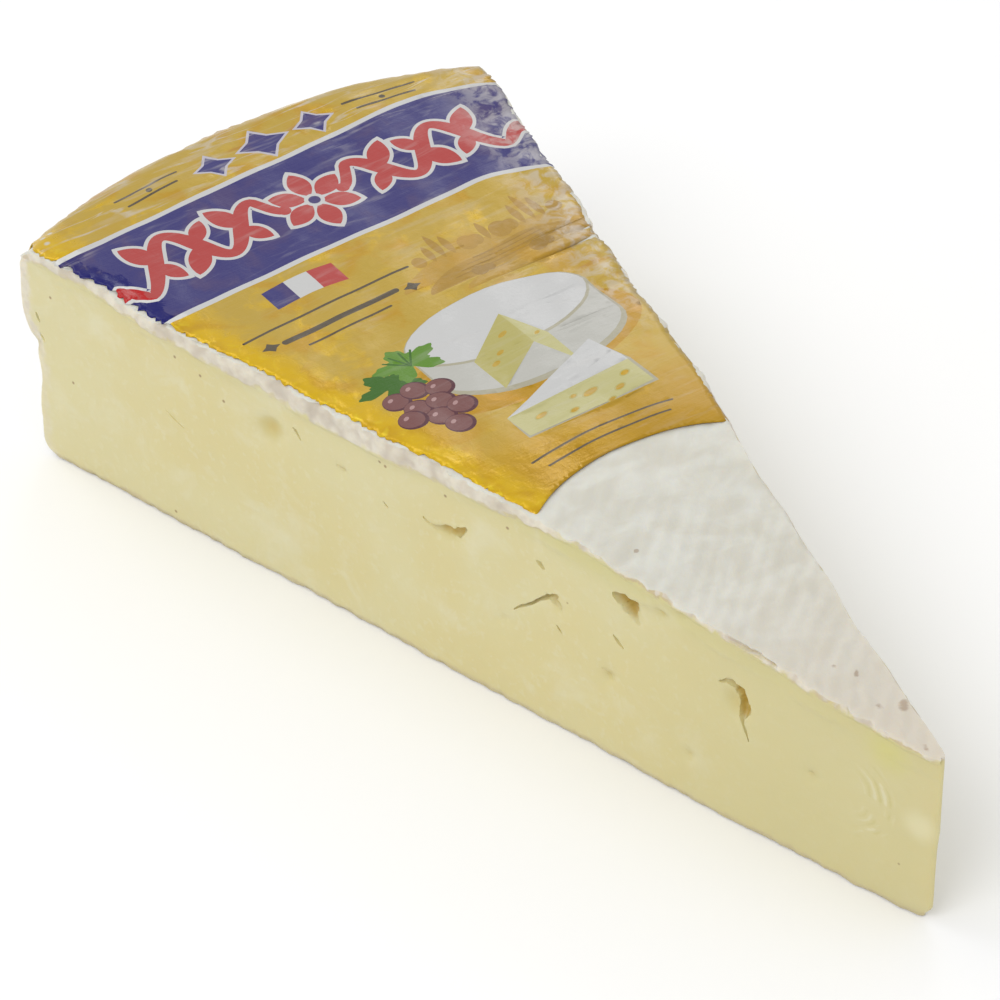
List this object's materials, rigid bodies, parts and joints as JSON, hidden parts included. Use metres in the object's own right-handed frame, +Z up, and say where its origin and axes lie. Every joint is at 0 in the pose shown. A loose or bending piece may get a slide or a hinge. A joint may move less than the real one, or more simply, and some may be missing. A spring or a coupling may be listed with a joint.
{
  "type": "wedge of brie cheese",
  "caption": "Cut wedge of soft white-rind brie, with small eyes in the paste and a printed foil label over the top and round the rim's upper edge.",
  "frame": {"origin": "middle of the wedge's bounding box at the level of the table that it lies on", "axes": "+X towards the tip, with the rim at -X; +Z up, with the label on top; the two cut faces look towards -Y and +Y"},
  "size_m": [0.1631, 0.0796, 0.0378],
  "materials": {
    "cheese": "soft, slightly moist pale yellow paste with a matt off-white bloomy rind",
    "label": "thin printed foil paper, golden yellow with a blue band, satin under a clear film"
  },
  "bodies": {
    "root": {"cheese": "cheese", "label": "label"}
  },
  "joints": []
}
